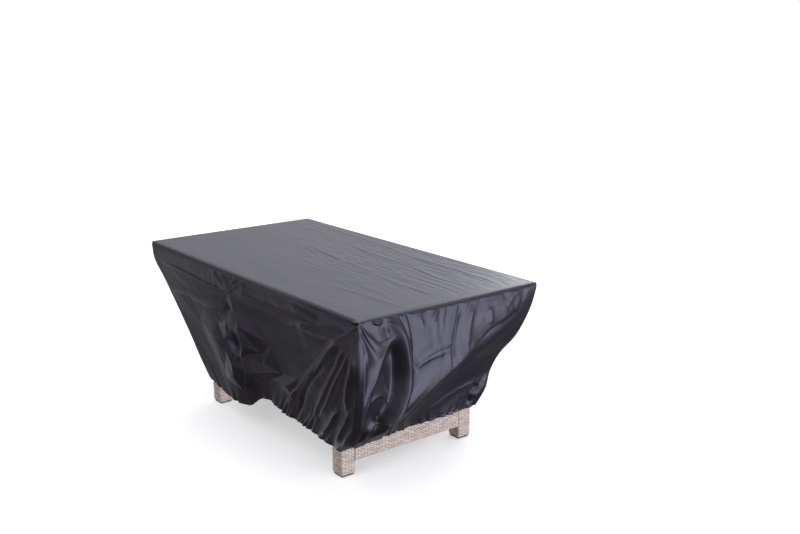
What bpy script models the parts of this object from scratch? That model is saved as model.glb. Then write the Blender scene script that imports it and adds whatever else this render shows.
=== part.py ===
"""A fitted cloth cover drawn over a low patio table, and the plain table that it fits.

Metres, +Z up. The origin is on the floor under the middle of the cover. The table's
long way runs along X, and its front is the -Y side. The cover is a top panel and four
skirt panels, sewn together at the table's edge and at the corners. Its hem is drawn in
round the legs, so each skirt panel slants inwards from the table's edge down to the hem.
"""
import math
from collections import namedtuple

import bmesh
import bpy
import numpy as np

# ---------------------------------------------------------------- the cover
CLOTH = 0.002
COVER_LENGTH = 1.450
COVER_WIDTH = 0.756
COVER_TOP_Z = 0.637

# The skirts turn over the table's edge in this small roll before they drop.
ROLL_OUT = 0.004
ROLL_DROP = 0.014
ROLL_SHARE = 0.06

# The seam at the right end bows in over the slab, so that the skirt lies on its edge.
RIGHT_BOW = 0.018
BOW_FULLNESS = 0.6

# The hem's corners stand this far from the middle of the table, drawn in round the legs.
HEM_HALF_X = 0.478
HEM_HALF_Y = 0.307

# A panel ends this far short of its neighbour's outer face at a sewn edge.
SEAM_BUTT = 0.0040
BUTT_FADE = 24
TOP_INSET = 0.0030

# The top lies in low ripples. A ripple is a wave with this many radians a metre each way.
TOP_COLUMNS = 28
TOP_ROWS = 14
TOP_SWELL = 0.0010
TOP_SWELL_FADE = 0.12
Ripple = namedtuple("Ripple", "per_x per_y phase share")
TOP_RIPPLES = (
    Ripple(-5.0, 31.0, 0.3, 0.3),
    Ripple(13.0, 31.0, -0.3, 0.3),
    Ripple(-6.0, 17.0, 0.0, 0.4),
)

# ---------------------------------------------------------------- the table
# The cover was pulled on a little forwards and to the left of the table's middle.
TABLE_X = 0.011
TABLE_Y = 0.017
SLAB_LENGTH = 1.424
SLAB_WIDTH = 0.716
SLAB_TOP_Z = 0.6310
SLAB_THICKNESS = 0.028
SLAB_EDGE_RADIUS = 0.008

BASE_LENGTH = 0.922
BASE_WIDTH = 0.583
LEG_SIDE = 0.057
LEG_EDGE_RADIUS = 0.004
GLIDE_SIDE = 0.049
GLIDE_HEIGHT = 0.008

RAIL_BOTTOM_Z = 0.051
RAIL_HEIGHT = 0.080
RAIL_THICKNESS = 0.040
APRON_HEIGHT = 0.060
APRON_THICKNESS = 0.024
JOINT_GAP = 0.0003
EDGE_SEGMENTS = 3
SHARP_ANGLE = math.radians(40)

# A section is the skirt's line from seam to hem. "along" is its place on the panel, from
# the left corner at 0 to the right corner at 1, seen from outside. Each inset is a share
# of the way in from the slab's edge to the hem's line, at these shares of the drop.
DROP_STATIONS = (0.0, 0.1, 0.25, 0.4, 0.55, 0.7, 0.85, 1.0)
Section = namedtuple("Section", "along hem_z inset")

CORNER_A = (0.105, (0.00, 0.03, 0.21, 0.38, 0.55, 0.71, 0.86, 1.03))
CORNER_B = (0.106, (0.00, -0.04, -0.05, 0.05, 0.17, 0.31, 0.55, 1.00))
CORNER_C = (0.128, (0.00, 0.05, 0.17, 0.34, 0.59, 0.75, 0.83, 1.00))
CORNER_D = (0.112, (0.00, 0.01, 0.15, 0.33, 0.52, 0.70, 0.85, 1.00))

FRONT_SECTIONS = (
    Section(0.00, *CORNER_A),
    Section(0.15, 0.080, (0.00, -0.10, 0.10, 0.30, 0.50, 0.68, 0.84, 1.00)),
    Section(0.30, 0.076, (0.00, -0.15, 0.05, 0.24, 0.40, 0.56, 0.74, 0.95)),
    Section(0.37, 0.090, (0.00, -0.15, 0.06, 0.27, 0.46, 0.65, 0.82, 1.02)),
    Section(0.43, 0.130, (0.00, -0.15, 0.08, 0.31, 0.53, 0.75, 0.91, 1.08)),
    Section(0.62, 0.127, (0.00, -0.15, 0.06, 0.28, 0.52, 0.76, 0.96, 1.10)),
    Section(0.82, 0.121, (0.00, -0.12, 0.00, 0.18, 0.38, 0.60, 0.82, 1.02)),
    Section(1.00, *CORNER_B),
)
RIGHT_SECTIONS = (
    Section(0.00, *CORNER_B),
    Section(0.16, 0.108, (0.00, -0.03, -0.02, 0.05, 0.14, 0.27, 0.56, 1.00)),
    Section(0.34, 0.116, (0.00, -0.03, 0.00, 0.07, 0.16, 0.36, 0.70, 1.00)),
    Section(0.52, 0.120, (0.00, -0.02, 0.02, 0.10, 0.27, 0.58, 0.83, 1.00)),
    Section(0.70, 0.121, (0.00, -0.02, 0.05, 0.19, 0.46, 0.71, 0.87, 1.00)),
    Section(0.86, 0.122, (0.00, 0.00, 0.09, 0.29, 0.56, 0.75, 0.87, 1.00)),
    Section(1.00, *CORNER_C),
)
BACK_SECTIONS = (
    Section(0.00, *CORNER_C),
    Section(0.20, 0.124, (0.00, -0.06, 0.08, 0.28, 0.50, 0.72, 0.88, 1.04)),
    Section(0.50, 0.134, (0.00, -0.08, 0.10, 0.32, 0.56, 0.78, 0.94, 1.08)),
    Section(0.80, 0.118, (0.00, -0.06, 0.06, 0.26, 0.46, 0.68, 0.86, 1.02)),
    Section(1.00, *CORNER_D),
)
LEFT_SECTIONS = (
    Section(0.00, *CORNER_D),
    Section(0.30, 0.120, (0.00, -0.02, 0.06, 0.20, 0.42, 0.66, 0.84, 1.00)),
    Section(0.65, 0.122, (0.00, -0.02, 0.05, 0.22, 0.46, 0.70, 0.86, 1.00)),
    Section(1.00, *CORNER_A),
)

# A skirt panel hangs from the seam between two corners. "outward" is the way it faces.
# The long panels butt against the inside of the end panels, their neighbours.
Panel = namedtuple("Panel", "left right outward sections bow columns gather neighbours")
SKIRTS = {
    "skirt_front": Panel(
        "A", "B", (0.0, -1.0), FRONT_SECTIONS, 0.0, 46, 0.30, ("skirt_left", "skirt_right")
    ),
    "skirt_right": Panel("B", "C", (1.0, 0.0), RIGHT_SECTIONS, RIGHT_BOW, 34, -0.12, None),
    "skirt_back": Panel(
        "C", "D", (0.0, 1.0), BACK_SECTIONS, 0.0, 30, 0.0, ("skirt_right", "skirt_left")
    ),
    "skirt_left": Panel("D", "A", (-1.0, 0.0), LEFT_SECTIONS, 0.0, 20, 0.0, None),
}
SIGNS = {"A": (-1, -1), "B": (1, -1), "C": (1, 1), "D": (-1, 1)}
SKIRT_ROWS = 16
SHOULDER_ROWS = 3

# A fold follows its path over a panel: (along, down) in shares of the panel. Its height
# stands out of the cloth as a ridge, or is negative for a trough.
Fold = namedtuple("Fold", "panel path width height")
FOLDS = (
    # The pulled tent in the front, and the rolls under it.
    Fold("skirt_front", ((0.46, 0.15), (0.37, 0.32), (0.24, 0.54)), 0.020, 0.012),
    Fold("skirt_front", ((0.46, 0.15), (0.46, 0.40), (0.44, 0.61)), 0.020, 0.012),
    Fold("skirt_front", ((0.40, 0.30), (0.38, 0.50)), 0.060, 0.008),
    Fold("skirt_front", ((0.22, 0.55), (0.38, 0.57), (0.47, 0.63)), 0.020, 0.010),
    Fold("skirt_front", ((0.26, 0.66), (0.40, 0.68), (0.56, 0.62)), 0.022, -0.008),
    Fold("skirt_front", ((0.32, 0.80), (0.50, 0.76), (0.64, 0.68)), 0.024, 0.009),
    Fold("skirt_front", ((0.22, 0.90), (0.31, 0.97), (0.40, 0.93)), 0.045, 0.014),
    # The fan that runs down from the near corner across the front.
    Fold("skirt_front", ((0.95, 0.12), (0.84, 0.34), (0.73, 0.57), (0.60, 0.87)), 0.022, 0.016),
    Fold("skirt_front", ((0.89, 0.31), (0.77, 0.60), (0.69, 0.92)), 0.018, -0.011),
    Fold("skirt_front", ((0.97, 0.15), (0.89, 0.45), (0.80, 0.77), (0.76, 0.94)), 0.015, 0.012),
    Fold("skirt_front", ((0.93, 0.47), (0.88, 0.70), (0.83, 0.93)), 0.016, -0.009),
    Fold("skirt_front", ((0.98, 0.35), (0.96, 0.60), (0.94, 0.90)), 0.013, 0.009),
    # The rolls of the right end, and the long trough from the far corner to the near leg.
    Fold("skirt_right", ((0.16, 0.14), (0.12, 0.24), (0.06, 0.46), (0.04, 0.88)), 0.015, 0.010),
    Fold("skirt_right", ((0.18, 0.14), (0.18, 0.32), (0.13, 0.50), (0.08, 0.64)), 0.022, -0.015),
    Fold(
        "skirt_right",
        ((0.12, 0.06), (0.20, 0.13), (0.25, 0.31), (0.26, 0.48), (0.21, 0.64), (0.10, 0.80)),
        0.019,
        0.018,
    ),
    Fold(
        "skirt_right",
        ((0.84, 0.20), (0.67, 0.36), (0.51, 0.55), (0.27, 0.75), (0.12, 0.88)),
        0.022,
        -0.018,
    ),
    Fold("skirt_right", ((0.82, 0.16), (0.65, 0.30), (0.46, 0.47), (0.30, 0.60)), 0.030, 0.013),
    Fold("skirt_right", ((0.53, 0.05), (0.49, 0.14), (0.48, 0.28), (0.44, 0.46)), 0.012, -0.008),
    Fold("skirt_right", ((0.74, 0.55), (0.51, 0.70), (0.39, 0.86)), 0.022, 0.008),
    Fold("skirt_right", ((0.92, 0.70), (0.65, 0.78), (0.50, 0.90)), 0.020, 0.007),
    Fold("skirt_right", ((0.94, 0.74), (0.91, 0.92)), 0.022, -0.009),
    # Plain folds that fan out from the corners of the sides that face away.
    Fold("skirt_back", ((0.05, 0.12), (0.14, 0.45), (0.22, 0.86)), 0.026, 0.016),
    Fold("skirt_back", ((0.10, 0.12), (0.24, 0.50), (0.36, 0.88)), 0.024, -0.009),
    Fold("skirt_back", ((0.50, 0.20), (0.46, 0.55), (0.52, 0.86)), 0.034, 0.008),
    Fold("skirt_back", ((0.90, 0.14), (0.74, 0.50), (0.62, 0.90)), 0.024, -0.008),
    Fold("skirt_back", ((0.95, 0.12), (0.86, 0.45), (0.78, 0.88)), 0.026, 0.016),
    Fold("skirt_left", ((0.06, 0.14), (0.20, 0.50), (0.34, 0.86)), 0.026, 0.012),
    Fold("skirt_left", ((0.30, 0.10), (0.38, 0.40), (0.36, 0.66)), 0.022, -0.008),
    Fold("skirt_left", ((0.55, 0.12), (0.52, 0.50), (0.58, 0.84)), 0.026, 0.008),
    Fold("skirt_left", ((0.85, 0.12), (0.66, 0.42), (0.48, 0.72)), 0.024, -0.009),
    Fold("skirt_left", ((0.93, 0.15), (0.78, 0.45), (0.62, 0.82)), 0.026, 0.012),
)

SKIRT_DROP = 0.52
FOLD_EDGE = 0.03
FOLD_TAPER = 0.2
FOLD_END_SHARE = 0.25


def corner_points(name):
    """Return a corner's seam point, roll point and hem point in plan."""
    sign = np.array(SIGNS[name])
    seam = sign * (COVER_LENGTH / 2, COVER_WIDTH / 2)
    roll = seam + sign * ROLL_OUT
    hem = np.array((TABLE_X, TABLE_Y)) + sign * (HEM_HALF_X, HEM_HALF_Y)
    return seam, roll, hem


def smooth_between(x, stations, values):
    """Cubic curve through the stations; values may hold a row for each x."""
    x = np.asarray(x, float)
    stations = np.asarray(stations, float)
    values = np.broadcast_to(np.asarray(values, float), (len(x), len(stations)))
    slopes = np.gradient(values, stations, axis=1)
    index = np.clip(np.searchsorted(stations, x, side="right") - 1, 0, len(stations) - 2)
    row = np.arange(len(x))
    gap = stations[index + 1] - stations[index]
    t = (x - stations[index]) / gap
    start = values[row, index] * (2 * t**3 - 3 * t**2 + 1)
    start_slope = slopes[row, index] * gap * (t**3 - 2 * t**2 + t)
    end = values[row, index + 1] * (3 * t**2 - 2 * t**3)
    end_slope = slopes[row, index + 1] * gap * (t**3 - t**2)
    return start + start_slope + end + end_slope


def ease(x):
    """Rise smoothly from 0 to 1."""
    x = np.clip(x, 0.0, 1.0)
    return x * x * (3.0 - 2.0 * x)


def seam_bow(along):
    """Return the share of a seam's bow at a place along it."""
    return np.clip(4.0 * along * (1.0 - along), 0.0, 1.0) ** BOW_FULLNESS


def skirt_base(panel, along, down):
    """Return the unfolded skirt's points for arrays of along and down."""
    stations = [section.along for section in panel.sections]
    insets = np.array([section.inset for section in panel.sections])
    inset_rows = np.stack(
        [smooth_between(along, stations, insets[:, k]) for k in range(len(DROP_STATIONS))], axis=1
    )
    hem_z = smooth_between(along, stations, [section.hem_z for section in panel.sections])
    roll_turn = np.clip(down / ROLL_SHARE, 0.0, 1.0) * math.pi / 2
    fall = np.clip((down - ROLL_SHARE) / (1.0 - ROLL_SHARE), 0.0, 1.0)
    z = COVER_TOP_Z - ROLL_DROP * (1.0 - np.cos(roll_turn))
    z = z + fall * (hem_z - (COVER_TOP_Z - ROLL_DROP))
    inset = smooth_between(fall, DROP_STATIONS, inset_rows)

    def corner_path(name, share):
        seam, roll, hem = corner_points(name)
        start = seam + np.sin(roll_turn)[:, None] * (roll - seam)
        return start + share[:, None] * (hem - roll)

    left_end = panel.sections[0].inset
    right_end = panel.sections[-1].inset
    left = corner_path(panel.left, smooth_between(fall, DROP_STATIONS, left_end))
    right = corner_path(panel.right, smooth_between(fall, DROP_STATIONS, right_end))
    plan = left + along[:, None] * (right - left)
    here_left = corner_path(panel.left, inset)
    here_right = corner_path(panel.right, inset)
    here = here_left + along[:, None] * (here_right - here_left)
    outward = np.array(panel.outward)
    bow = panel.bow * seam_bow(along) * (1.0 - np.sin(roll_turn))
    shift = (here - plan) @ outward - bow
    plan = plan + shift[:, None] * outward
    return np.column_stack([plan, z])


def path_distance(points, path):
    """Distance from each point to the path, and the share of the path that is nearest."""
    path = np.asarray(path, float)
    lengths = np.linalg.norm(np.diff(path, axis=0), axis=1)
    total = lengths.sum()
    best = np.full(len(points), np.inf)
    share = np.zeros(len(points))
    gone = 0.0
    for start, end, length in zip(path[:-1], path[1:], lengths):
        way = (end - start) / length
        t = np.clip((points - start) @ way, 0.0, length)
        distance = np.linalg.norm(points - (start + t[:, None] * way), axis=1)
        nearer = distance < best
        best = np.where(nearer, distance, best)
        share = np.where(nearer, (gone + t) / total, share)
        gone += length
    return best, share


def panel_length(panel):
    """Return the panel's mean length between the seam and the hem."""
    left_seam, _, left_hem = corner_points(panel.left)
    right_seam, _, right_hem = corner_points(panel.right)
    return (np.linalg.norm(right_seam - left_seam) + np.linalg.norm(right_hem - left_hem)) / 2


def fold_height(name, along, down):
    """Return how far the folds push the cloth out at each point of a panel."""
    size = np.array([panel_length(SKIRTS[name]), SKIRT_DROP])
    points = np.column_stack([along, down]) * size
    height = np.zeros(len(points))
    for fold in FOLDS:
        if fold.panel != name:
            continue
        distance, share = path_distance(points, np.array(fold.path) * size)
        ends = ease(share / FOLD_TAPER) * ease((1.0 - share) / FOLD_TAPER)
        tapered = FOLD_END_SHARE + (1.0 - FOLD_END_SHARE) * ends
        height += fold.height * np.exp(-((distance / fold.width) ** 2)) * tapered
    edge = np.minimum(along, 1.0 - along) * size[0] / FOLD_EDGE
    return height * ease(edge) * ease((down - ROLL_SHARE / 2) / ROLL_SHARE)


def skirt_points(name, along, down):
    """Return the folded skirt's points for arrays of along and down."""
    panel = SKIRTS[name]
    points = skirt_base(panel, along, down)
    points[:, :2] += fold_height(name, along, down)[:, None] * np.array(panel.outward)
    return points


def material(name, color, roughness, metallic=0.0):
    """Return a Principled material."""
    made = bpy.data.materials.new(name)
    made.use_nodes = True
    shader = made.node_tree.nodes["Principled BSDF"]
    shader.inputs["Base Color"].default_value = (*color, 1.0)
    shader.inputs["Roughness"].default_value = roughness
    shader.inputs["Metallic"].default_value = metallic
    return made


def cover_cloth(name):
    """Dark coated polyester."""
    return material(name, (0.030, 0.030, 0.036), 0.42)


def wicker(name):
    """Beige-grey woven strands."""
    return material(name, (0.42, 0.36, 0.30), 0.60)


def grey_board(name):
    """Plain grey table board."""
    return material(name, (0.30, 0.29, 0.28), 0.55)


def black_plastic(name):
    """Black foot plastic."""
    return material(name, (0.02, 0.02, 0.02), 0.50)


def place(mesh, name, look, where):
    """Put a mesh in the part's collection as a named object with its own material."""
    made = bpy.data.objects.new(name, mesh)
    made.data.materials.append(look(name + "_finish"))
    made.location = where
    PART.objects.link(made)
    return made


def block(name, size, centre, look, edge_radius):
    """A box with rounded edges."""
    mesh = bpy.data.meshes.new(name)
    bm = bmesh.new()
    bmesh.ops.create_cube(bm, size=1.0)
    bmesh.ops.scale(bm, vec=size, verts=bm.verts)
    bm.to_mesh(mesh)
    bm.free()
    made = place(mesh, name, look, centre)
    bevel = made.modifiers.new("rounded edges", "BEVEL")
    bevel.width = edge_radius
    bevel.segments = EDGE_SEGMENTS
    mesh.shade_smooth()
    mesh.set_sharp_from_angle(angle=SHARP_ANGLE)
    return made


def sheet(name, columns, rows, shape):
    """A cloth sheet: a grid moved onto its drape, with the cloth's thickness inwards."""
    mesh = bpy.data.meshes.new(name)
    bm = bmesh.new()
    bmesh.ops.create_grid(bm, x_segments=columns, y_segments=rows, size=0.5)
    flat = np.array([vert.co[:] for vert in bm.verts])
    column = np.round((flat[:, 0] + 0.5) * columns) / columns
    row = np.round((0.5 - flat[:, 1]) * rows) / rows
    for vert, point in zip(bm.verts, shape(column, row)):
        vert.co = point
    bm.to_mesh(mesh)
    bm.free()
    made = place(mesh, name, cover_cloth, (0.0, 0.0, 0.0))
    solid = made.modifiers.new("cloth", "SOLIDIFY")
    solid.thickness = CLOTH
    solid.offset = -1.0
    mesh.shade_smooth()
    return made


def outward_normal(panel, along, down):
    """Return the unfolded skirt's outward unit normals."""
    step = 0.002
    right = skirt_base(panel, np.minimum(along + step, 1.0), down)
    left = skirt_base(panel, np.maximum(along - step, 0.0), down)
    above = skirt_base(panel, along, np.maximum(down - step, 0.0))
    below = skirt_base(panel, along, np.minimum(down + step, 1.0))
    normal = np.cross(below - above, right - left)
    return normal / np.linalg.norm(normal, axis=1, keepdims=True)


def butt(panel, along, down):
    """Return how a long panel's ends draw back from the inner face of its neighbours."""
    left_neighbour, right_neighbour = panel.neighbours
    from_left = outward_normal(SKIRTS[left_neighbour], np.ones(len(down)), down)
    from_right = outward_normal(SKIRTS[right_neighbour], np.zeros(len(down)), down)
    near_left = (1.0 - along) ** BUTT_FADE
    near_right = along**BUTT_FADE
    return -SEAM_BUTT * (near_left[:, None] * from_left + near_right[:, None] * from_right)


def make_skirt(name):
    """One skirt panel, from the seam over the slab's edge down to the hem."""
    panel = SKIRTS[name]
    shoulder = SHOULDER_ROWS / SKIRT_ROWS

    def shape(column, row):
        along = column + panel.gather * np.sin(math.pi * column) / math.pi
        below = ROLL_SHARE + (row - shoulder) / (1.0 - shoulder) * (1.0 - ROLL_SHARE)
        down = np.where(row < shoulder, row / shoulder * ROLL_SHARE, below)
        points = skirt_points(name, along, down)
        if panel.neighbours:
            points += butt(panel, along, down)
        return points

    return sheet(name, panel.columns, SKIRT_ROWS, shape)


def make_top():
    """The top panel, lying on the slab with low ripples along its length."""
    length = COVER_LENGTH - 2 * TOP_INSET
    width = COVER_WIDTH - 2 * TOP_INSET

    def shape(column, row):
        y = (0.5 - row) * width
        x = (column - 0.5) * length - column * RIGHT_BOW * seam_bow(row)
        edge = np.minimum(np.minimum(column, 1 - column), np.minimum(row, 1 - row))
        swell = sum(r.share * np.sin(r.per_x * x + r.per_y * y + r.phase) for r in TOP_RIPPLES)
        z = COVER_TOP_Z + TOP_SWELL * swell * ease(edge / TOP_SWELL_FADE)
        return np.column_stack([x, y, z])

    return sheet("top_panel", TOP_COLUMNS, TOP_ROWS, shape)


def make_table():
    """The slab, its legs on foot glides, the low end rails and the aprons."""
    slab_bottom = SLAB_TOP_Z - SLAB_THICKNESS
    block(
        "table_slab",
        (SLAB_LENGTH, SLAB_WIDTH, SLAB_THICKNESS),
        (TABLE_X, TABLE_Y, SLAB_TOP_Z - SLAB_THICKNESS / 2),
        grey_board,
        SLAB_EDGE_RADIUS,
    )
    leg_x = (BASE_LENGTH - LEG_SIDE) / 2
    leg_y = (BASE_WIDTH - LEG_SIDE) / 2
    leg_bottom = GLIDE_HEIGHT + JOINT_GAP
    leg_height = slab_bottom - JOINT_GAP - leg_bottom
    for corner, (sign_x, sign_y) in SIGNS.items():
        spot = (TABLE_X + sign_x * leg_x, TABLE_Y + sign_y * leg_y)
        block(
            "leg_" + corner.lower(),
            (LEG_SIDE, LEG_SIDE, leg_height),
            (*spot, leg_bottom + leg_height / 2),
            wicker,
            LEG_EDGE_RADIUS,
        )
        block(
            "glide_" + corner.lower(),
            (GLIDE_SIDE, GLIDE_SIDE, GLIDE_HEIGHT),
            (*spot, GLIDE_HEIGHT / 2),
            black_plastic,
            GLIDE_HEIGHT / 6,
        )
    rail_x = (BASE_LENGTH - RAIL_THICKNESS) / 2
    rail_length = BASE_WIDTH - 2 * LEG_SIDE - 2 * JOINT_GAP
    apron_z = slab_bottom - JOINT_GAP - APRON_HEIGHT / 2
    for side, sign in (("left", -1), ("right", 1)):
        block(
            "end_rail_" + side,
            (RAIL_THICKNESS, rail_length, RAIL_HEIGHT),
            (TABLE_X + sign * rail_x, TABLE_Y, RAIL_BOTTOM_Z + RAIL_HEIGHT / 2),
            wicker,
            LEG_EDGE_RADIUS,
        )
        block(
            "end_apron_" + side,
            (APRON_THICKNESS, rail_length, APRON_HEIGHT),
            (TABLE_X + sign * leg_x, TABLE_Y, apron_z),
            wicker,
            LEG_EDGE_RADIUS,
        )
    long_length = BASE_LENGTH - 2 * LEG_SIDE - 2 * JOINT_GAP
    for side, sign in (("front", -1), ("back", 1)):
        block(
            "long_apron_" + side,
            (long_length, APRON_THICKNESS, APRON_HEIGHT),
            (TABLE_X, TABLE_Y + sign * leg_y, apron_z),
            wicker,
            LEG_EDGE_RADIUS,
        )


for old in list(bpy.data.objects):
    bpy.data.objects.remove(old)
PART = bpy.data.collections.new("patio_table_cover")
bpy.context.scene.collection.children.link(PART)
make_table()
make_top()
for skirt_name in SKIRTS:
    make_skirt(skirt_name)
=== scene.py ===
"""Looks of the fitted cover on its low patio table: cloth, seams, hem, wicker and light."""

import math
from collections import namedtuple

import bpy
import numpy as np
from mathutils import Matrix, Vector
from mathutils.geometry import delaunay_2d_cdt


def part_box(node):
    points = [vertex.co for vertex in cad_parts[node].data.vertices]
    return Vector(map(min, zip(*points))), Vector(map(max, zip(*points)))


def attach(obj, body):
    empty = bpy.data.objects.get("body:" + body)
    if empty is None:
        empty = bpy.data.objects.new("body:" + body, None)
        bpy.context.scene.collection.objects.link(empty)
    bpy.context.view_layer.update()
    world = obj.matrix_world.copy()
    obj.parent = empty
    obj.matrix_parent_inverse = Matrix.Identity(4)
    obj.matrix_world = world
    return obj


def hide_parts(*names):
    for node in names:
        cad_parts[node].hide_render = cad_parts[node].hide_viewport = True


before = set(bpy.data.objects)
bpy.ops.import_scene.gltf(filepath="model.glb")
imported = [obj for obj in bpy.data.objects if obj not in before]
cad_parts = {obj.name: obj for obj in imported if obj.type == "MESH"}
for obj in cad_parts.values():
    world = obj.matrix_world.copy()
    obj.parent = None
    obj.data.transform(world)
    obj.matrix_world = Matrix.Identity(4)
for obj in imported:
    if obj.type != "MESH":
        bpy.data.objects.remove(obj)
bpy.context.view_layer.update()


def table(columns, *rows):
    """Return rows whose values are named by these columns."""
    row_type = namedtuple("Row", columns)
    return tuple(row_type(*row) for row in rows)


# ---------------- camera and light
PHOTO_WIDTH_PX = 800
FOCAL_PX = 1005.2
SENSOR_MM = 36.0
CAMERA_PLACE = (3.083, -2.05, 1.531)
CAMERA_YAW = math.radians(-52.14)
CAMERA_PITCH = math.radians(14.03)
CAMERA_ROLL = math.radians(-0.2)

# Soft glows of the room that the cloth mirrors, each with its half-angle in degrees.
GLOWS = table(
    "towards spread color",
    ((0.9, 0.24, -0.27), 48.0, (3.95, 3.95, 4.6, 1)),
    ((0.75, -0.58, -0.32), 36.0, (1.3, 1.3, 1.5, 1)),
    ((-0.9, 0.38, -0.38), 24.0, (1.0, 1.0, 1.2, 1)),
    ((-0.4, 0.85, 0.2), 45.0, (0.5, 0.5, 0.6, 1)),
)
# The room's grey from straight down at 0 to straight up at 1: each height and its level.
SIDE_LEVELS = (
    (0.0, 0.04), (0.23, 0.17), (0.34, 0.28), (0.42, 0.38), (0.486, 0.55),
    (0.518, 0.58), (0.62, 0.74), (0.8, 0.9), (1.0, 1.0),
)
FRONT_LEVELS = (
    (0.0, 0.04), (0.23, 0.08), (0.34, 0.34), (0.42, 0.42), (0.478, 0.48), (0.49, 1.0),
    (0.514, 1.0), (0.526, 0.24), (0.59, 0.11), (0.73, 0.11), (0.84, 0.85), (1.0, 1.0),
)
ROOM_TINT = (1.0, 1.0, 1.06)
BACKDROP = (1.0, 1.0, 1.0, 1)
# Between these values of a direction's Y the room passes from its side to its front.
FRONT_BLEND = (0.15, -0.35)
FLOOR_RADIUS = 80

LIGHTS = table(
    "name place aim size power color glossy",
    ("key", (3.4, 2.6, 1.0), (0.5, 0.0, 0.35), 1.8, 8, (0.94, 0.96, 1.0), True),
    ("back", (-1.9, 4.5, 2.2), (0.2, 0.0, 0.6), 2.6, 60, (0.94, 0.96, 1.0), True),
    ("fill", (0.6, -3.0, 0.5), (0.0, 0.0, 0.2), 2.4, 66, (1.0, 1.0, 1.0), False),
)

# ---------------- the cover's drape
COVER_LENGTH = 1.45
COVER_WIDTH = 0.756
COVER_TOP_Z = 0.637
ROLL_OUT = 0.004
ROLL_DROP = 0.014
ROLL_SHARE = 0.06
RIGHT_BOW = 0.018
BOW_FULLNESS = 0.6
HEM_HALF = (0.478, 0.307)
HEM_MIDDLE = (0.011, 0.017)

# A section is the skirt's line from seam to hem. "along" is its place on the panel, from
# the left corner at 0 to the right corner at 1, seen from outside. Each inset is a share
# of the way in from the slab's edge to the hem's line, at these shares of the drop.
DROP_STATIONS = (0.0, 0.1, 0.25, 0.4, 0.55, 0.7, 0.85, 1.0)
SECTION = "along hem_z inset"

CORNER_A = (0.105, (0.0, 0.03, 0.21, 0.38, 0.55, 0.71, 0.86, 1.03))
CORNER_B = (0.106, (0.0, -0.04, -0.05, 0.05, 0.17, 0.31, 0.55, 1.0))
CORNER_C = (0.128, (0.0, 0.05, 0.17, 0.34, 0.59, 0.75, 0.83, 1.0))
CORNER_D = (0.112, (0.0, 0.01, 0.15, 0.33, 0.52, 0.7, 0.85, 1.0))

FRONT_SECTIONS = table(
    SECTION,
    (0.0, *CORNER_A),
    (0.15, 0.08, (0.0, -0.1, 0.1, 0.3, 0.5, 0.68, 0.84, 1.0)),
    (0.3, 0.076, (0.0, -0.15, 0.05, 0.24, 0.4, 0.56, 0.74, 0.95)),
    (0.37, 0.09, (0.0, -0.15, 0.06, 0.27, 0.46, 0.65, 0.82, 1.02)),
    (0.43, 0.13, (0.0, -0.15, 0.08, 0.31, 0.53, 0.75, 0.91, 1.08)),
    (0.62, 0.127, (0.0, -0.15, 0.06, 0.28, 0.52, 0.76, 0.96, 1.1)),
    (0.82, 0.121, (0.0, -0.12, 0.0, 0.18, 0.38, 0.6, 0.82, 1.02)),
    (1.0, *CORNER_B),
)
RIGHT_SECTIONS = table(
    SECTION,
    (0.0, *CORNER_B),
    (0.16, 0.108, (0.0, -0.03, -0.02, 0.05, 0.14, 0.27, 0.56, 1.0)),
    (0.34, 0.116, (0.0, -0.03, 0.0, 0.07, 0.16, 0.36, 0.7, 1.0)),
    (0.52, 0.12, (0.0, -0.02, 0.02, 0.1, 0.27, 0.58, 0.83, 1.0)),
    (0.7, 0.121, (0.0, -0.02, 0.05, 0.19, 0.46, 0.71, 0.87, 1.0)),
    (0.86, 0.122, (0.0, 0.0, 0.09, 0.29, 0.56, 0.75, 0.87, 1.0)),
    (1.0, *CORNER_C),
)
BACK_SECTIONS = table(
    SECTION,
    (0.0, *CORNER_C),
    (0.2, 0.124, (0.0, -0.06, 0.08, 0.28, 0.5, 0.72, 0.88, 1.04)),
    (0.5, 0.134, (0.0, -0.08, 0.1, 0.32, 0.56, 0.78, 0.94, 1.08)),
    (0.8, 0.118, (0.0, -0.06, 0.06, 0.26, 0.46, 0.68, 0.86, 1.02)),
    (1.0, *CORNER_D),
)
LEFT_SECTIONS = table(
    SECTION,
    (0.0, *CORNER_D),
    (0.3, 0.12, (0.0, -0.02, 0.06, 0.2, 0.42, 0.66, 0.84, 1.0)),
    (0.65, 0.122, (0.0, -0.02, 0.05, 0.22, 0.46, 0.7, 0.86, 1.0)),
    (1.0, *CORNER_A),
)

Panel = namedtuple("Panel", "left right outward sections bow columns")
SKIRTS = {
    "front": Panel("A", "B", (0.0, -1.0), FRONT_SECTIONS, 0.0, 470),
    "right": Panel("B", "C", (1.0, 0.0), RIGHT_SECTIONS, RIGHT_BOW, 250),
    "back": Panel("C", "D", (0.0, 1.0), BACK_SECTIONS, 0.0, 300),
    "left": Panel("D", "A", (-1.0, 0.0), LEFT_SECTIONS, 0.0, 160),
}
SIGNS = {"A": (-1, -1), "B": (1, -1), "C": (1, 1), "D": (-1, 1)}
SKIRT_DROP = 0.52
FOLD_EDGE = 0.018
FOLD_TAPER = 0.2
FOLD_END_SHARE = 0.25
FOLD_REACH = 3.0
CREST_SOFTNESS = 0.002
CREASE_WIDTH = 0.8

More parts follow.
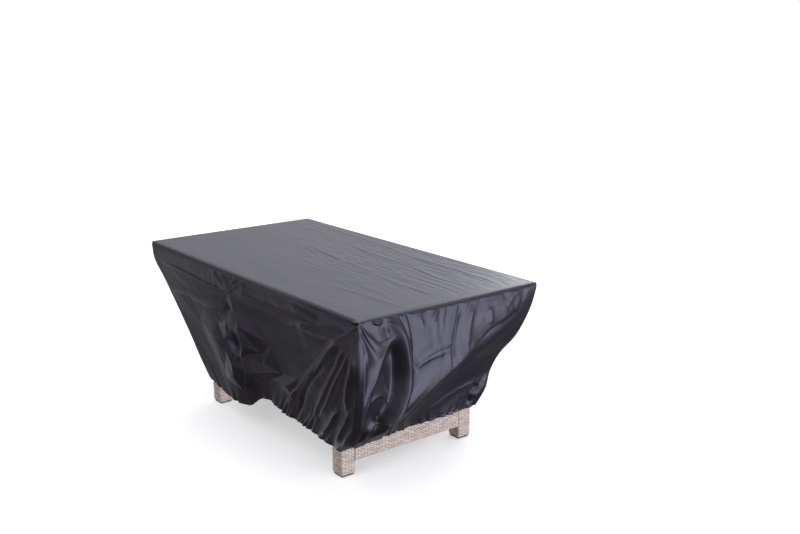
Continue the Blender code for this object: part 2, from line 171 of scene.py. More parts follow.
# A fold follows its path over a panel: (along, down) in shares of the panel. Its height
# stands out of the cloth as a ridge, or is negative for a trough. Paths run downwards,
# and the fold is as wide as "left" and "right" say to either side; a level path runs to
# the right and has its left side below it. "sharp" is 0 for a soft roll, 1 for a crease.
# On the top panel, "down" runs from the back edge to the front edge.
FOLD = "left right height sharp path"
FRONT_FOLDS = table(
    FOLD,
    # The edge of the band that lies over the table's edge, and the crease below it.
    (0.0042, 0.0042, 0.0055, 1.0, ((0.03, 0.165), (0.16, 0.145), (0.33, 0.16), (0.46, 0.165))),
    (0.0042, 0.0042, 0.0055, 1.0, ((0.5, 0.15), (0.61, 0.145), (0.72, 0.145), (0.83, 0.14))),
    (0.0042, 0.0042, 0.0055, 1.0, ((0.06, 0.345), (0.16, 0.32), (0.25, 0.32), (0.36, 0.325))),
    # The rays of the small star where the cloth is pinched.
    (0.006, 0.006, 0.005, 1.0, ((0.36, 0.07), (0.465, 0.155))),
    (0.005, 0.005, 0.005, 1.0, ((0.41, 0.06), (0.465, 0.155))),
    (0.005, 0.005, 0.005, 1.0, ((0.48, 0.07), (0.465, 0.155))),
    (0.006, 0.006, 0.005, 1.0, ((0.53, 0.06), (0.465, 0.155))),
    # The fan from the near corner across the front: each fold has a narrow side that
    # catches the light and a broad dark one to its right.
    (0.009, 0.03, 0.009, 0.7,
     ((0.965, 0.115), (0.91, 0.235), (0.855, 0.35), (0.75, 0.58), (0.65, 0.79), (0.6, 0.94))),
    (0.006, 0.018, 0.008, 1.0,
     ((0.968, 0.11), (0.92, 0.22), (0.875, 0.32), (0.82, 0.465), (0.758, 0.615), (0.71, 0.75))),
    (0.006, 0.012, -0.01, 0.6, ((0.88, 0.335), (0.77, 0.59), (0.7, 0.78), (0.685, 0.955))),
    (0.01, 0.018, 0.011, 0.6,
     ((0.98, 0.13), (0.955, 0.215), (0.89, 0.455), (0.852, 0.59), (0.8, 0.765), (0.763, 0.94))),
    (0.009, 0.028, 0.01, 0.6,
     ((0.993, 0.125), (0.975, 0.21), (0.92, 0.43), (0.89, 0.55), (0.85, 0.7), (0.8, 0.86))),
    (0.012, 0.018, 0.012, 0.5, ((0.99, 0.19), (0.982, 0.29), (0.972, 0.37), (0.962, 0.465), (0.96, 0.62))),
    (0.009, 0.014, 0.01, 0.6, ((0.975, 0.61), (0.96, 0.72), (0.944, 0.83), (0.946, 0.95))),
    (0.012, 0.012, 0.012, 0.7, ((0.912, 0.675), (0.885, 0.795), (0.872, 0.9), (0.875, 0.96))),
    (0.006, 0.006, 0.005, 1.0, ((0.992, 0.755), (0.985, 0.81), (0.98, 0.9))),
    # The dark hollow beside the fan, and the lit fold of the band near the near corner.
    (0.055, 0.02, 0.016, 0.0, ((0.76, 0.2), (0.86, 0.19), (0.97, 0.15))),
    (0.006, 0.014, 0.005, 0.9, ((0.74, 0.085), (0.8, 0.1), (0.86, 0.115))),
)
RIGHT_FOLDS = table(
    FOLD,
    # The lit edge of the near corner, and the rolls of the right end.
    (0.012, 0.01, 0.007, 0.8, ((0.02, 0.13), (0.024, 0.3), (0.024, 0.45), (0.02, 0.6), (0.018, 0.92))),
    (0.03, 0.006, 0.012, 0.8,
     ((0.155, 0.13), (0.173, 0.16), (0.14, 0.245), (0.095, 0.35),
      (0.062, 0.5), (0.04, 0.69), (0.032, 0.87))),
    (0.006, 0.006, 0.005, 1.0, ((0.143, 0.245), (0.09, 0.375), (0.045, 0.49), (0.028, 0.61))),
    (0.06, 0.02, -0.032, 0.3, ((0.165, 0.16), (0.195, 0.31), (0.2, 0.48), (0.168, 0.62), (0.08, 0.78))),
    (0.022, 0.012, 0.02, 0.2,
     ((0.12, 0.055), (0.2, 0.12), (0.248, 0.31), (0.258, 0.48), (0.22, 0.64), (0.1, 0.8))),
    (0.006, 0.014, -0.007, 0.7, ((0.26, 0.07), (0.283, 0.235), (0.29, 0.35), (0.31, 0.44))),
    # The crumple at the foot of the dark hollow.
    (0.006, 0.01, 0.004, 0.9, ((0.055, 0.6), (0.09, 0.53), (0.155, 0.535), (0.2, 0.63))),
    (0.008, 0.008, 0.009, 0.9, ((0.178, 0.74), (0.13, 0.71), (0.08, 0.76), (0.06, 0.88))),
    (0.012, 0.012, 0.002, 0.8, ((0.135, 0.36), (0.17, 0.47), (0.215, 0.6))),
    (0.016, 0.016, -0.012, 0.5, ((0.15, 0.64), (0.12, 0.78), (0.1, 0.92))),
    # Small pairs of creases that cross the lit cloth beside the long crease.
    (0.006, 0.01, 0.004, 1.0, ((0.492, 0.285), (0.402, 0.31), (0.325, 0.355), (0.298, 0.39))),
    (0.006, 0.01, 0.004, 1.0, ((0.468, 0.335), (0.398, 0.345), (0.332, 0.375), (0.308, 0.42))),
    (0.008, 0.006, 0.004, 0.9, ((0.352, 0.05), (0.318, 0.08), (0.328, 0.135))),
    (0.008, 0.006, 0.0035, 0.9, ((0.422, 0.05), (0.39, 0.09), (0.385, 0.13))),
    # The long trough from the far corner to the near leg, under its lit edge.
    (0.06, 0.014, 0.01, 0.8, ((0.87, 0.175), (0.77, 0.24), (0.675, 0.33), (0.58, 0.415))),
    (0.095, 0.016, 0.034, 0.8,
     ((0.68, 0.325), (0.58, 0.415), (0.485, 0.5), (0.4, 0.57), (0.22, 0.71), (0.06, 0.9))),
    (0.014, 0.04, -0.016, 0.6,
     ((0.86, 0.21), (0.75, 0.285), (0.675, 0.36), (0.59, 0.445),
      (0.51, 0.53), (0.42, 0.61), (0.27, 0.745), (0.13, 0.87))),
    (0.005, 0.006, -0.006, 1.0, ((0.8, 0.235), (0.675, 0.35), (0.58, 0.435), (0.485, 0.52), (0.4, 0.59))),
    (0.004, 0.008, -0.009, 0.9,
     ((0.532, 0.055), (0.522, 0.125), (0.51, 0.195), (0.503, 0.29), (0.503, 0.43))),
    (0.02, 0.012, 0.005, 0.5, ((0.605, 0.07), (0.588, 0.195), (0.59, 0.34))),
    (0.016, 0.012, 0.004, 0.5, ((0.698, 0.11), (0.715, 0.23))),
    (0.016, 0.012, 0.004, 0.5, ((0.878, 0.05), (0.84, 0.09), (0.805, 0.14))),
    # The creases that run together towards the near leg.
    (0.008, 0.014, 0.005, 0.9,
     ((0.82, 0.52), (0.7, 0.5), (0.655, 0.585), (0.495, 0.61), (0.395, 0.66), (0.342, 0.745))),
    (0.01, 0.016, 0.003, 0.8, ((0.895, 0.625), (0.765, 0.68), (0.658, 0.75), (0.57, 0.84), (0.51, 0.92))),
    (0.01, 0.014, 0.003, 0.8, ((0.918, 0.775), (0.81, 0.79), (0.685, 0.84), (0.588, 0.905))),
    (0.008, 0.012, 0.005, 0.9, ((0.74, 0.61), (0.6, 0.7), (0.48, 0.8), (0.4, 0.92))),
    (0.008, 0.008, 0.004, 0.9, ((0.975, 0.755), (0.96, 0.845), (0.932, 0.92))),
    (0.014, 0.014, -0.014, 0.6, ((0.94, 0.8), (0.9, 0.88), (0.93, 0.97))),
)
BACK_FOLDS = table(
    FOLD,
    # Plain folds that fan out from the corners of the sides that face away.
    (0.026, 0.026, 0.016, 0.4, ((0.05, 0.12), (0.14, 0.45), (0.22, 0.86))),
    (0.024, 0.024, -0.009, 0.3, ((0.1, 0.12), (0.24, 0.5), (0.36, 0.88))),
    (0.034, 0.034, 0.008, 0.3, ((0.5, 0.2), (0.46, 0.55), (0.52, 0.86))),
    (0.024, 0.024, -0.008, 0.3, ((0.9, 0.14), (0.74, 0.5), (0.62, 0.9))),
    (0.026, 0.026, 0.016, 0.4, ((0.95, 0.12), (0.86, 0.45), (0.78, 0.88))),
)
LEFT_FOLDS = table(
    FOLD,
    (0.026, 0.026, 0.012, 0.4, ((0.06, 0.14), (0.2, 0.5), (0.34, 0.86))),
    (0.022, 0.022, -0.008, 0.3, ((0.3, 0.1), (0.38, 0.4), (0.36, 0.66))),
    (0.026, 0.026, 0.008, 0.3, ((0.55, 0.12), (0.52, 0.5), (0.58, 0.84))),
    (0.024, 0.024, -0.009, 0.3, ((0.85, 0.12), (0.66, 0.42), (0.48, 0.72))),
    (0.026, 0.026, 0.012, 0.4, ((0.93, 0.15), (0.78, 0.45), (0.62, 0.82))),
)
TOP_FOLDS = table(
    FOLD,
    (0.01, 0.005, 0.0014, 1.0, ((0.04, 0.02), (0.26, 0.064), (0.46, 0.085), (0.64, 0.135))),
    (0.01, 0.005, 0.0014, 1.0, ((0.6, 0.125), (0.77, 0.13), (0.89, 0.135), (0.97, 0.151))),
    (0.01, 0.005, 0.0013, 1.0, ((0.34, 0.177), (0.5, 0.235), (0.72, 0.265), (0.86, 0.298))),
    (0.01, 0.005, 0.0013, 1.0, ((0.33, 0.388), (0.475, 0.43), (0.616, 0.453), (0.72, 0.485))),
    (0.01, 0.005, 0.0012, 1.0, ((0.7, 0.48), (0.836, 0.505), (0.954, 0.49))),
    (0.009, 0.005, 0.0012, 1.0, ((0.71, 0.76), (0.845, 0.738), (0.98, 0.722))),
    (0.008, 0.005, 0.001, 1.0, ((0.07, 0.144), (0.18, 0.15), (0.29, 0.157))),
    (0.012, 0.007, 0.0008, 0.8, ((0.05, 0.3), (0.16, 0.31), (0.27, 0.33))),
)
FOLDS = {
    "front": FRONT_FOLDS,
    "right": RIGHT_FOLDS,
    "back": BACK_FOLDS,
    "left": LEFT_FOLDS,
    "top": TOP_FOLDS,
}

# The crumpled patch of the front is a net: flat facets stretched between knots, and still
# at its rim.
NET_PANEL = "front"
NET_RELIEF = 1.5
NET_SOFTENING = 2
NET_KNOTS = table(
    "along down height",
    (0.46, 0.17, 0.0), (0.422, 0.24, 0.002), (0.368, 0.34, 0.002), (0.318, 0.425, 0.004),
    (0.248, 0.54, 0.004), (0.418, 0.3, 0.0), (0.375, 0.385, 0.004), (0.385, 0.5, 0.03),
    (0.41, 0.45, 0.016), (0.445, 0.35, 0.004), (0.432, 0.47, 0.02), (0.436, 0.64, 0.034),
    (0.455, 0.305, 0.014), (0.462, 0.405, 0.022), (0.462, 0.555, 0.03), (0.328, 0.54, 0.0),
    (0.395, 0.56, 0.01), (0.31, 0.59, 0.018), (0.378, 0.605, 0.024), (0.3, 0.625, 0.002),
    (0.352, 0.65, 0.004), (0.345, 0.69, 0.018), (0.41, 0.68, 0.01), (0.515, 0.59, 0.002),
    (0.525, 0.65, 0.016), (0.518, 0.722, 0.032), (0.435, 0.765, 0.036), (0.395, 0.735, 0.006),
    (0.328, 0.785, 0.016), (0.45, 0.8, 0.012), (0.522, 0.775, 0.008), (0.605, 0.66, 0.002),
    (0.628, 0.735, 0.012),
)
NET_RIM = table(
    "along down",
    (0.4, 0.15), (0.29, 0.26), (0.18, 0.48), (0.16, 0.64), (0.23, 0.83), (0.34, 0.9),
    (0.5, 0.88), (0.66, 0.84), (0.7, 0.62), (0.58, 0.47), (0.5, 0.28), (0.5, 0.15),
)

# A fan is a spread of small folds from a focus on the panel, between two directions in
# degrees: 0 is to the right and 90 is down. It starts "near" and ends "far", in metres.
FANS = table(
    "panel along down start stop pitch height near far seed",
    ("front", 1.0, 0.04, 100, 168, 3.2, 0.0014, 0.1, 0.62, 3),
    ("front", 1.0, 0.05, 92, 150, 9.0, 0.003, 0.015, 0.11, 11),
    ("front", 0.465, 0.16, 40, 85, 7.0, 0.002, 0.05, 0.22, 4),
    ("right", 0.0, 0.04, 5, 85, 7.0, 0.007, 0.03, 0.16, 5),
    ("right", -0.02, 1.04, -62, -12, 2.6, 0.0024, 0.1, 0.5, 6),
    ("back", 0.0, 0.04, 10, 78, 4.0, 0.003, 0.1, 0.55, 7),
    ("back", 1.0, 0.04, 102, 170, 4.0, 0.003, 0.1, 0.55, 8),
    ("left", 0.0, 0.04, 10, 78, 5.0, 0.0025, 0.08, 0.45, 9),
    ("left", 1.0, 0.04, 102, 170, 5.0, 0.0025, 0.08, 0.45, 10),
)

# A gather is a row of small puckers that die away from the seam or from the hem.
GATHERS = table(
    "panel edge start stop pitch reach height seed",
    ("front", "seam", 0.3, 0.6, 0.016, 0.022, 0.0012, 21),
    ("front", "hem", -0.1, 1.1, 0.009, 0.016, 0.0022, 22),
    ("front", "hem", 0.4, 1.1, 0.018, 0.045, 0.0055, 23),
    ("front", "hem", -0.1, 0.4, 0.028, 0.05, 0.003, 24),
    ("right", "seam", -0.05, 0.34, 0.014, 0.02, 0.006, 25),
    ("right", "seam", 0.25, 1.05, 0.018, 0.024, 0.0018, 26),
    ("right", "hem", -0.1, 1.1, 0.01, 0.016, 0.0034, 27),
    ("right", "hem", -0.1, 1.1, 0.019, 0.045, 0.0045, 28),
    ("back", "seam", -0.1, 1.1, 0.02, 0.02, 0.001, 29),
    ("back", "hem", -0.1, 1.1, 0.009, 0.016, 0.0022, 30),
    ("back", "hem", -0.1, 1.1, 0.024, 0.055, 0.0045, 31),
    ("left", "seam", -0.1, 1.1, 0.018, 0.02, 0.0012, 32),
    ("left", "hem", -0.1, 1.1, 0.009, 0.016, 0.0022, 33),
    ("left", "hem", -0.1, 1.1, 0.022, 0.05, 0.004, 34),
)

# A crinkle is unevenness all over a place: waves "long" by "short" metres in size, turned
# by some degrees. "ridge" is 0 for soft waves, 1 for creases.
CRINKLES = table(
    "panel along down spread turn long short height ridge seed",
    ("top", 0.5, 0.5, 9.0, 3, 0.5, 0.11, 0.0009, 0.0, 41),
    ("top", 0.45, 0.35, 0.34, 12, 0.11, 0.02, 0.0011, 0.6, 42),
    ("top", 0.75, 0.3, 0.34, 4, 0.22, 0.032, 0.001, 0.8, 43),
    ("front", 0.5, 0.5, 9.0, 25, 0.16, 0.09, 0.0022, 0.0, 44),
    ("front", 0.5, 0.5, 9.0, 60, 0.07, 0.035, 0.0006, 0.3, 45),
    ("front", 0.4, 0.55, 0.16, 40, 0.05, 0.03, 0.0014, 0.8, 46),
    ("right", 0.5, 0.5, 9.0, -35, 0.14, 0.06, 0.002, 0.0, 47),
    ("right", 0.5, 0.3, 0.22, 80, 0.11, 0.026, 0.0014, 0.3, 48),
    ("right", 0.93, 0.85, 0.07, -50, 0.035, 0.02, 0.0012, 0.8, 49),
    ("back", 0.5, 0.5, 9.0, 75, 0.16, 0.06, 0.0025, 0.1, 50),
    ("left", 0.5, 0.5, 9.0, 75, 0.14, 0.06, 0.0025, 0.1, 51),
)

# A groove runs all along a panel beside its seam, at a place down the panel. It is deeper
# by "more" at the panel's right end.
GROOVES = table(
    "panel down width depth more",
    ("front", 0.036, 0.0045, 0.0035, 0.007),
    ("front", 0.056, 0.003, -0.0025, 0.0),
    ("right", 0.0, 0.0018, 0.002, 0.0),
    ("back", 0.0, 0.0025, 0.0016, 0.0),
    ("left", 0.0, 0.0025, 0.0016, 0.0),
)
GROOVE_DEEPENS = (0.7, 0.3)

# How the small folds wander: their margins, their waves in metres and their random rows.
WANDER_COUNT = 512
RUMPLE_COUNT = 256
RUMPLE_GAIN = 1.4
SECOND_SEED = 100
FAN_MARGIN = 0.15
FAN_FADE = 0.5
FAN_WAVER = 1.5
FAN_WAVER_LENGTH = 0.12
FAN_FIRST_BEND = 200.0
GATHER_MARGIN = 0.1
GATHER_LEAN = 0.5
GATHER_LEAN_LENGTH = 0.08
RIDGE_SLOPE = 2.5

# Cells stand closer at a sewn edge, in metres, and at the seam and the hem, in shares.
EDGE_CELLS = (0.0012, 0.0028, 0.005)
ROW_STATIONS = (0.0, 0.06, 0.94, 1.0)
ROW_COUNTS = (10, 172, 18)
TOP_COLUMNS = 380
TOP_EDGE_FADE = 0.02
SEAM_DIP = 0.002
SEAM_DIP_WIDTH = 0.0025
HEM_STITCH_UP = 0.012
HEM_STITCH_DEPTH = 0.001
HEM_STITCH_WIDTH = 0.0022
CORNER_ROUND = 0.01
CORNER_ROUND_PASSES = 14
CORNER_ROUND_STEP = 0.6
CORNER_ROUND_START = 0.05
SMALL_FOLD_EDGE = 0.006
# No fold goes further in than this beside the slab, down to these shares of the skirt.
SLAB_GAP = 0.003
SLAB_SHARES = (0.075, 0.13)
# The top's front edge rolls over the slab, most of all towards the near corner.
EDGE_SINK = 0.003
NEAR_EDGE_SINK = 0.009
NEAR_SINK_STARTS = (0.5, 0.45)
EDGE_SINK_WIDTH = 0.017
EDGE_SINK_FADE = 0.03
EDGE_SINK_DROP = 0.1
# The turned hem curls in and up from its lower edge: metres inwards and upwards.
HEM_CURL = ((0.0011, -0.0008), (0.002, 0.0006), (0.0022, 0.012))

YARN_PITCH = 0.0008

# The wicker: flat strands that pass over and under stakes, in metres.
STRAND_WIDTH = 0.0066
STAKE_PITCH = 0.013
STAKE_WIDTH = 0.008
STAKE_HEIGHT = 0.8
STRAND_DIP = 0.25
WICKER_RELIEF = 0.0011
WICKER_EDGE_RADIUS = 0.0025
WICKER_EDGE_POINTS = 7
WOVEN_LEG_TOP = 0.3
STRAND_CELLS = (0.0, 0.15, 0.5, 0.85)
STAKE_CELLS = (0.0, 0.25, 0.5, 0.75)
# Streaks per metre, along and across a strand or along an apron's X, Y and Z.
STRAND_STREAKS = (60.0, 600.0, 1.0)
APRON_STREAKS = (70.0, 70.0, 500.0)


def corner_points(name):
    """Return a corner's seam point, roll point and hem point in plan."""
    sign = np.array(SIGNS[name])
    seam = sign * (COVER_LENGTH / 2, COVER_WIDTH / 2)
    return seam, seam + sign * ROLL_OUT, np.array(HEM_MIDDLE) + sign * HEM_HALF


def ease(x):
    """Rise smoothly from 0 to 1."""
    x = np.clip(x, 0.0, 1.0)
    return x * x * (3.0 - 2.0 * x)


def window(x, start, stop, margin):
    """Rise from 0 to 1 within a margin after the start, and fall before the stop."""
    return ease((x - start) / margin) * ease((stop - x) / margin)


def bell(x, width):
    """Fall smoothly from 1 to either side of 0."""
    return np.exp(-((x / width) ** 2))


def hermite(t, start, end, start_slope, end_slope):
    """Cubic from start to end as t goes from 0 to 1, with these slopes at its ends."""
    flat = start * (2 * t**3 - 3 * t**2 + 1) + end * (3 * t**2 - 2 * t**3)
    return flat + start_slope * (t**3 - 2 * t**2 + t) + end_slope * (t**3 - t**2)


def smooth_between(x, stations, values):
    """Cubic curve through the stations; values may hold a row for each x."""
    x = np.asarray(x, float)
    stations = np.asarray(stations, float)
    values = np.broadcast_to(np.asarray(values, float), (len(x), len(stations)))
    slopes = np.gradient(values, stations, axis=1)
    index = np.clip(np.searchsorted(stations, x, side="right") - 1, 0, len(stations) - 2)
    row = np.arange(len(x))
    gap = stations[index + 1] - stations[index]
    t = (x - stations[index]) / gap
    start_slope, end_slope = slopes[row, index] * gap, slopes[row, index + 1] * gap
    return hermite(t, values[row, index], values[row, index + 1], start_slope, end_slope)


def edge_sink(along):
    """Return how far the front seam lies below the top at a place along it."""
    start, length = NEAR_SINK_STARTS
    more = NEAR_EDGE_SINK * ease((along - start) / length)
    return (EDGE_SINK + more) * window(along, 0.0, 1.0, EDGE_SINK_FADE)


def seam_bow(along):
    """Return the share of a seam's bow at a place along it."""
    return np.clip(4.0 * along * (1.0 - along), 0.0, 1.0) ** BOW_FULLNESS


def skirt_base(panel, along, down):
    """Return the unfolded skirt's points for arrays of along and down."""
    stations = [section.along for section in panel.sections]
    insets = np.array([section.inset for section in panel.sections])
    inset_rows = np.stack([smooth_between(along, stations, row) for row in insets.T], axis=1)
    hem_z = smooth_between(along, stations, [section.hem_z for section in panel.sections])
    roll_turn = np.clip(down / ROLL_SHARE, 0.0, 1.0) * math.pi / 2
    fall = np.clip((down - ROLL_SHARE) / (1.0 - ROLL_SHARE), 0.0, 1.0)
    z = COVER_TOP_Z - ROLL_DROP * (1.0 - np.cos(roll_turn))
    z = z + fall * (hem_z - (COVER_TOP_Z - ROLL_DROP))

    def plan_between(left_share, right_share):
        ends = []
        for name, share in ((panel.left, left_share), (panel.right, right_share)):
            seam, roll, hem = corner_points(name)
            start = seam + np.sin(roll_turn)[:, None] * (roll - seam)
            ends.append(start + share[:, None] * (hem - roll))
        return ends[0] + along[:, None] * (ends[1] - ends[0])

    end_shares = [smooth_between(fall, DROP_STATIONS, insets[end]) for end in (0, -1)]
    plan = plan_between(*end_shares)
    inset = smooth_between(fall, DROP_STATIONS, inset_rows)
    outward = np.array(panel.outward)
    bow = panel.bow * seam_bow(along) * (1.0 - np.sin(roll_turn))
    shift = (plan_between(inset, inset) - plan) @ outward - bow
    return np.column_stack([plan + shift[:, None] * outward, z])


def panel_length(panel):
    """Return the panel's mean length between the seam and the hem."""
    left_seam, _, left_hem = corner_points(panel.left)
    right_seam, _, right_hem = corner_points(panel.right)
    return (np.linalg.norm(right_seam - left_seam) + np.linalg.norm(right_hem - left_hem)) / 2


def curved(path, steps=6):
    """Return a smooth path through the few points of a short one."""
    path = np.asarray(path, float)
    if len(path) < 3:
        return path
    at = np.linspace(0, len(path) - 1, steps * (len(path) - 1) + 1)
    return np.column_stack([smooth_between(at, np.arange(len(path)), line) for line in path.T])


def path_distance(points, path):
    """Signed distance from each point to the path, and the nearest share of the path.

    The distance is positive on the left of a path that runs downwards.
    """
    lengths = np.linalg.norm(np.diff(path, axis=0), axis=1)
    total = lengths.sum()
    best = np.full(len(points), np.inf)
    side = np.ones(len(points))
    share = np.zeros(len(points))
    gone = 0.0
    for start, end, length in zip(path[:-1], path[1:], lengths):
        way = (end - start) / length
        offset = points - start
        t = np.clip(offset @ way, 0.0, length)
        distance = np.linalg.norm(offset - t[:, None] * way, axis=1)
        nearer = distance < best
        best = np.where(nearer, distance, best)
        cross = way[0] * offset[:, 1] - way[1] * offset[:, 0]
        side = np.where(nearer, np.sign(cross), side)
        share = np.where(nearer, (gone + t) / total, share)
        gone += length
    return best * side, share


def fold_height(fold, points, size):
    """Return one fold's height at points in metres over its panel."""
    path = curved(fold.path) * size
    reach = FOLD_REACH * max(fold.left, fold.right)
    near = np.all((points > path.min(axis=0) - reach) & (points < path.max(axis=0) + reach), axis=1)
    height = np.zeros(len(points))
    distance, share = path_distance(points[near], path)
    width = np.where(distance > 0, fold.left, fold.right)
    distance = np.abs(distance)
    tapered = FOLD_END_SHARE + (1.0 - FOLD_END_SHARE) * window(share, 0.0, 1.0, FOLD_TAPER)
    soft = bell(distance, width)
    crest = np.sqrt(distance**2 + CREST_SOFTNESS**2) - CREST_SOFTNESS
    sharp = np.exp(-crest / (CREASE_WIDTH * width))
    height[near] = fold.height * (soft + fold.sharp * (sharp - soft)) * tapered
    return height


def net_height(points, size):
    """Return the crumpled patch's height: flat facets between its knots."""
    places = [Vector(np.array(knot[:2]) * size) for knot in NET_KNOTS + NET_RIM]
    heights = np.array([knot.height for knot in NET_KNOTS] + [0.0] * len(NET_RIM))
    corners, _, faces, _, _, _ = delaunay_2d_cdt(places, [], [], 0, 1e-6)
    corners = np.array([corner[:] for corner in corners])
    height = np.zeros(len(points))
    for face in faces:
        a, b, c = corners[list(face)]
        v, w = np.linalg.solve(np.column_stack([b - a, c - a]), (points - a).T)
        inside = (v >= 0) & (w >= 0) & (v + w <= 1)
        level_a, level_b, level_c = heights[list(face)]
        height = np.where(inside, level_a * (1 - v - w) + level_b * v + level_c * w, height)
    return NET_RELIEF * height


def wander(x, seed):
    """Smooth random curve from -1 to 1 with a bend at every whole number."""
    x = np.asarray(x, float) + 2.0
    values = np.random.default_rng(seed).uniform(-1.0, 1.0, WANDER_COUNT)
    i = np.floor(x).astype(int)
    before, start, end, after = (values[(i + k) % WANDER_COUNT] for k in (-1, 0, 1, 2))
    return hermite(x - i, start, end, (end - before) / 2, (after - start) / 2)


def rumple(u, v, seed):
    """Smooth noise from -1 to 1 over a plane, with waves about one unit long."""
    count = (RUMPLE_COUNT, RUMPLE_COUNT)
    angles = np.random.default_rng(seed).uniform(0.0, 2.0 * math.pi, count)
    i, j = np.floor(u).astype(int), np.floor(v).astype(int)
    across, down = u - i, v - j

    def corner(step_i, step_j):
        turn = angles[(i + step_i) % RUMPLE_COUNT, (j + step_j) % RUMPLE_COUNT]
        return np.cos(turn) * (across - step_i) + np.sin(turn) * (down - step_j)

    blend_u, blend_v = (t**3 * (t * (t * 6.0 - 15.0) + 10.0) for t in (across, down))
    low = corner(0, 0) * (1.0 - blend_u) + corner(1, 0) * blend_u
    high = corner(0, 1) * (1.0 - blend_u) + corner(1, 1) * blend_u
    return RUMPLE_GAIN * (low * (1.0 - blend_v) + high * blend_v)


def fan_height(fan, points, size):
    """Return the height of a fan of small folds."""
    offset = points - np.multiply((fan.along, fan.down), size)
    radius = np.linalg.norm(offset, axis=1)
    angle = np.degrees(np.arctan2(offset[:, 1], offset[:, 0]))
    margin = FAN_MARGIN * (fan.stop - fan.start)
    inside = window(angle, fan.start, fan.stop, margin)
    reach = ease(radius / fan.near) * ease((fan.far - radius) / (FAN_FADE * fan.far))
    waver = FAN_WAVER * wander(radius / FAN_WAVER_LENGTH, fan.seed + SECOND_SEED)
    folds = wander((angle + waver) / fan.pitch + FAN_FIRST_BEND, fan.seed)
    return fan.height * inside * reach * folds


def gather_height(gather, points, size):
    """Return the height of the puckers along a seam or a hem."""
    inside = window(points[:, 0] / size[0], gather.start, gather.stop, GATHER_MARGIN)
    if gather.edge == "hem":
        away = size[1] - points[:, 1]
        fade = np.exp(-away / gather.reach)
    else:
        away = np.maximum(points[:, 1] - ROLL_SHARE * size[1] / 2, 0.0)
        fade = away / gather.reach * np.exp(1.0 - away / gather.reach)
    lean = wander(points[:, 0] / GATHER_LEAN_LENGTH, gather.seed + SECOND_SEED)
    lean = lean * away * GATHER_LEAN
    return gather.height * inside * fade * wander((points[:, 0] + lean) / gather.pitch, gather.seed)


def crinkle_height(crinkle, points, size):
    """Return the height of a patch of uneven cloth."""
    offset = points - np.multiply((crinkle.along, crinkle.down), size)
    fade = np.exp(-np.sum(offset**2, axis=1) / crinkle.spread**2)
    turn = math.radians(crinkle.turn)
    lengthwise = points @ np.array((math.cos(turn), math.sin(turn))) / crinkle.long
    crosswise = points @ np.array((-math.sin(turn), math.cos(turn))) / crinkle.short
    waves = rumple(lengthwise, crosswise, crinkle.seed)
    ridges = 1.0 - RIDGE_SLOPE * np.abs(waves)
    return crinkle.height * fade * (waves + crinkle.ridge * (ridges - waves))


def summed(height_of, table, name, points, size):
    """Return the summed heights of a table's rows that lie on this panel."""
    height = np.zeros(len(points))
    for row in table:
        if row.panel == name:
            height += height_of(row, points, size)
    return height


def fold_and_crinkle_heights(name, points, size):
    """Return the summed heights of a panel's folds and crinkles."""
    height = summed(crinkle_height, CRINKLES, name, points, size)
    for fold in FOLDS[name]:
        height += fold_height(fold, points, size)
    return height


def shares(count, length):
    """Return a length's shares in this many cells, with closer ones at both its ends."""
    edge = np.array((0.0,) + EDGE_CELLS) / length
    middle = np.linspace(edge[-1], 1.0 - edge[-1], count - 2 * len(EDGE_CELLS) + 1)
    return np.concatenate([edge[:-1], middle, 1.0 - edge[:-1][::-1]])


def soften(grid, passes):
    """Round a grid of heights off over its neighbours."""
    for _ in range(passes):
        padded = np.pad(grid, 1, mode="edge")
        around = padded[:-2, 1:-1] + padded[2:, 1:-1] + padded[1:-1, :-2] + padded[1:-1, 2:]
        grid = 0.5 * grid + 0.125 * around
    return grid


def panel_heights(name, along, down):
    """Return the height of all folds on a panel, for grids of along and down."""
    size = np.array([panel_length(SKIRTS[name]), SKIRT_DROP])
    points = np.column_stack([along.ravel(), down.ravel()]) * size
    height = fold_and_crinkle_heights(name, points, size).reshape(along.shape)
    if name == NET_PANEL:
        height += soften(net_height(points, size).reshape(along.shape), NET_SOFTENING)
    from_end = np.minimum(along, 1.0 - along) * size[0]
    height *= ease(from_end / FOLD_EDGE) * ease((down - ROLL_SHARE / 2) / ROLL_SHARE)
    small = summed(fan_height, FANS, name, points, size)
    small += summed(gather_height, GATHERS, name, points, size)
    height += small.reshape(along.shape) * ease(from_end / SMALL_FOLD_EDGE)
    below = ease((down - SLAB_SHARES[0]) / (SLAB_SHARES[1] - SLAB_SHARES[0]))
    return np.maximum(height, -SLAB_GAP) * (1.0 - below) + height * below


def groove_depth(name, along, down):
    """Return how deep the seam's and the hem's stitching pull the cloth in."""
    depth = np.zeros(along.shape)
    start, length = GROOVE_DEEPENS
    for groove in GROOVES:
        if groove.panel == name:
            away = (down - groove.down) * SKIRT_DROP
            deepest = groove.depth + groove.more * ease((along - start) / length)
            depth += deepest * bell(away, groove.width)
    away = (1.0 - down) * SKIRT_DROP - HEM_STITCH_UP
    return depth + HEM_STITCH_DEPTH * bell(away, HEM_STITCH_WIDTH)


def row_shares():
    """Return the rows' places down the skirt."""
    parts = [
        np.linspace(start, end, count, endpoint=False)
        for start, end, count in zip(ROW_STATIONS[:-1], ROW_STATIONS[1:], ROW_COUNTS)
    ]
    return np.append(np.concatenate(parts), 1.0)


